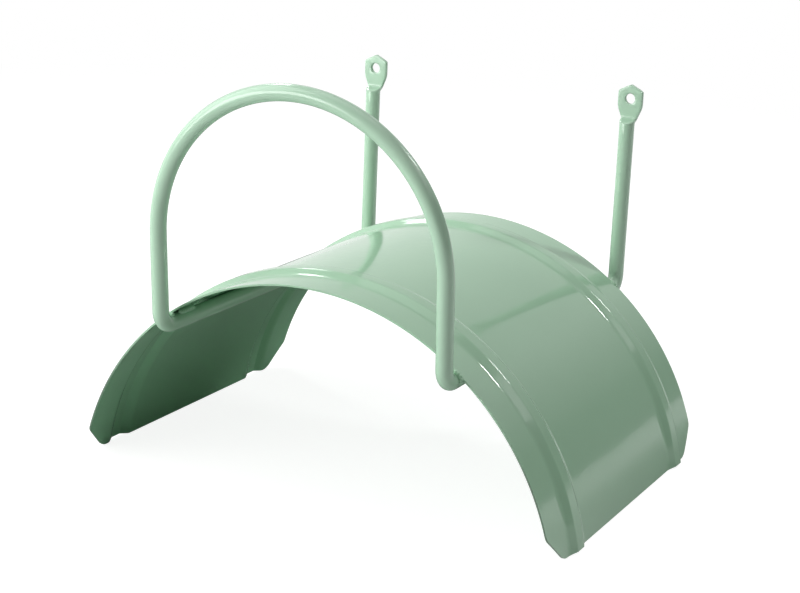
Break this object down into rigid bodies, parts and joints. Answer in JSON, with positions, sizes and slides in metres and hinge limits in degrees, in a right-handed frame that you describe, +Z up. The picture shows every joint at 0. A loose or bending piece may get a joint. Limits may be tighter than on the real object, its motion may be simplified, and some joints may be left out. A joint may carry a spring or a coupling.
{
  "type": "hose hanger",
  "caption": "Wall-mounted hose hanger: a ribbed arched sheet saddle on a bent rod frame with flattened screw tabs and an upright hoop that keeps the coiled hose on.",
  "frame": {"origin": "midway between the two screw holes, on the plane of the wall", "axes": "+Z up, +Y into the wall, +X to the right of someone who faces the wall"},
  "size_m": [0.265, 0.2168, 0.2058],
  "materials": {
    "paint": "smooth glossy pale sage green paint"
  },
  "bodies": {
    "root": {"saddle": "paint", "rod_frame": "paint"}
  },
  "joints": []
}
